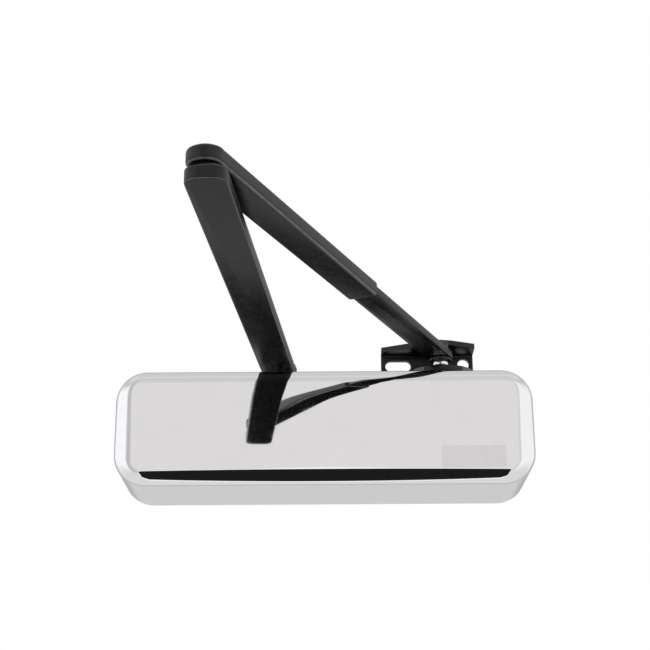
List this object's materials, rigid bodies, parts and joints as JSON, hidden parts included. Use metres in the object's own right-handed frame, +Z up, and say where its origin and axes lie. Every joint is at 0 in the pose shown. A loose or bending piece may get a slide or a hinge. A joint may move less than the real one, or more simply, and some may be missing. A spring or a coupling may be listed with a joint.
{
  "type": "door closer",
  "caption": "Surface door closer with a polished clip-on cover, a rack and pinion body inside, and a black folding arm ending in a frame bracket.",
  "frame": {"origin": "centre of the mounting plate's back face, where the closer meets the door", "axes": "+X along the body towards the spring end, +Y into the door, +Z up towards the arms"},
  "size_m": [0.23, 0.2874, 0.0913],
  "materials": {
    "chrome_cover": "polished",
    "badge_metal": "satin",
    "black_paint": "satin, fine texture",
    "black_steel": "satin",
    "cast_aluminium": "as cast",
    "zinc_steel": "zinc plated",
    "polished_steel": "polished",
    "brass": "machined",
    "black_rubber": "matt"
  },
  "bodies": {
    "root": {"mounting_plate": "zinc_steel", "body_casting": "cast_aluminium", "body_screw_1": "zinc_steel", "body_screw_2": "zinc_steel", "body_screw_3": "zinc_steel", "body_screw_4": "zinc_steel", "left_end_cap": "zinc_steel", "right_end_cap": "zinc_steel", "left_cap_o_ring": "black_rubber", "right_cap_o_ring": "black_rubber", "upper_bearing": "polished_steel", "lower_bearing": "polished_steel", "spindle_seal": "black_rubber", "lower_bearing_cap": "zinc_steel", "closing_spring": "zinc_steel", "cover_clip_left": "zinc_steel", "cover_clip_right": "zinc_steel"},
    "piston_body": {"piston": "polished_steel", "piston_seal": "black_rubber", "check_ball": "polished_steel", "check_ball_seat": "brass"},
    "power_adjuster": {"power_screw": "zinc_steel"},
    "spring_seat": {"spring_plate": "zinc_steel"},
    "cover": {"cover_shell": "chrome_cover", "cover_badge": "badge_metal"},
    "spindle": {"pinion_spindle": "polished_steel", "main_arm": "black_paint", "arm_screw": "zinc_steel", "arm_washer": "zinc_steel", "elbow_pin": "black_steel", "elbow_washer": "polished_steel", "elbow_bearing_ring": "black_steel"},
    "forearm": {"forearm_sleeve": "black_paint", "length_lock_screw": "zinc_steel"},
    "bar": {"forearm_bar": "black_paint"},
    "bracket": {"shoe_bracket": "black_paint", "shoe_pivot_pin": "polished_steel", "shoe_collar": "black_steel", "shoe_pivot_nut": "black_steel"},
    "closing_speed_adjuster": {"closing_speed_valve": "brass", "closing_speed_valve_o_ring": "black_rubber"},
    "latching_speed_adjuster": {"latching_speed_valve": "brass", "latching_speed_valve_o_ring": "black_rubber"},
    "backcheck_adjuster": {"backcheck_valve": "brass", "backcheck_valve_o_ring": "black_rubber"}
  },
  "joints": [
    {"name": "spindle_turn", "type": "hinge", "parent": "root", "child": "spindle", "pos_m": [-0.0252, -0.0282, 0], "axis": [0, 0, 1], "range_deg": [-150, 0], "stiffness_Nm_per_rad": 4},
    {"name": "piston_slide", "type": "slide", "parent": "root", "child": "piston_body", "axis": [1, 0, 0], "range_m": [0, 0.022], "deforming": ["closing_spring"]},
    {"name": "power_screw_turn", "type": "hinge", "parent": "root", "child": "power_adjuster", "pos_m": [0.07, -0.0282, 0], "axis": [1, 0, 0], "range_deg": [-1200, 1200]},
    {"name": "spring_plate_slide", "type": "slide", "parent": "root", "child": "spring_seat", "axis": [1, 0, 0], "range_m": [-0.00499, 0.00499]},
    {"name": "cover_pull", "type": "slide", "parent": "root", "child": "cover", "axis": [0, -1, 0], "range_m": [0, 0.075]},
    {"name": "elbow_turn", "type": "hinge", "parent": "spindle", "child": "forearm", "pos_m": [-0.0463, -0.2759, 0], "axis": [0, 0, 1], "range_deg": [-150, 5]},
    {"name": "forearm_slide", "type": "slide", "parent": "forearm", "child": "bar", "axis": [0.4139, 0.9103, 0], "range_m": [-0.03, 0.05]},
    {"name": "shoe_turn", "type": "hinge", "parent": "bar", "child": "bracket", "pos_m": [0.06645, -0.02795, 0], "axis": [0, 0, 1], "range_deg": [-110, 65]},
    {"name": "closing_speed_adjust", "type": "hinge", "parent": "root", "child": "closing_speed_adjuster", "pos_m": [-0.086, -0.0086, 0.0184], "axis": [1, 0, 0], "range_deg": [-360, 360]},
    {"name": "latching_speed_adjust", "type": "hinge", "parent": "root", "child": "latching_speed_adjuster", "pos_m": [-0.086, -0.0086, -0.0184], "axis": [1, 0, 0], "range_deg": [-360, 360]},
    {"name": "backcheck_adjust", "type": "hinge", "parent": "root", "child": "backcheck_adjuster", "pos_m": [-0.086, -0.0446, 0.0184], "axis": [1, 0, 0], "range_deg": [-360, 360]}
  ],
  "couplings": [
    {"joint": "piston_slide", "follows": "spindle_turn", "m_per_rad": -0.0084},
    {"joint": "power_screw_turn", "follows": "spring_plate_slide", "rad_per_m": 4188.8}
  ]
}
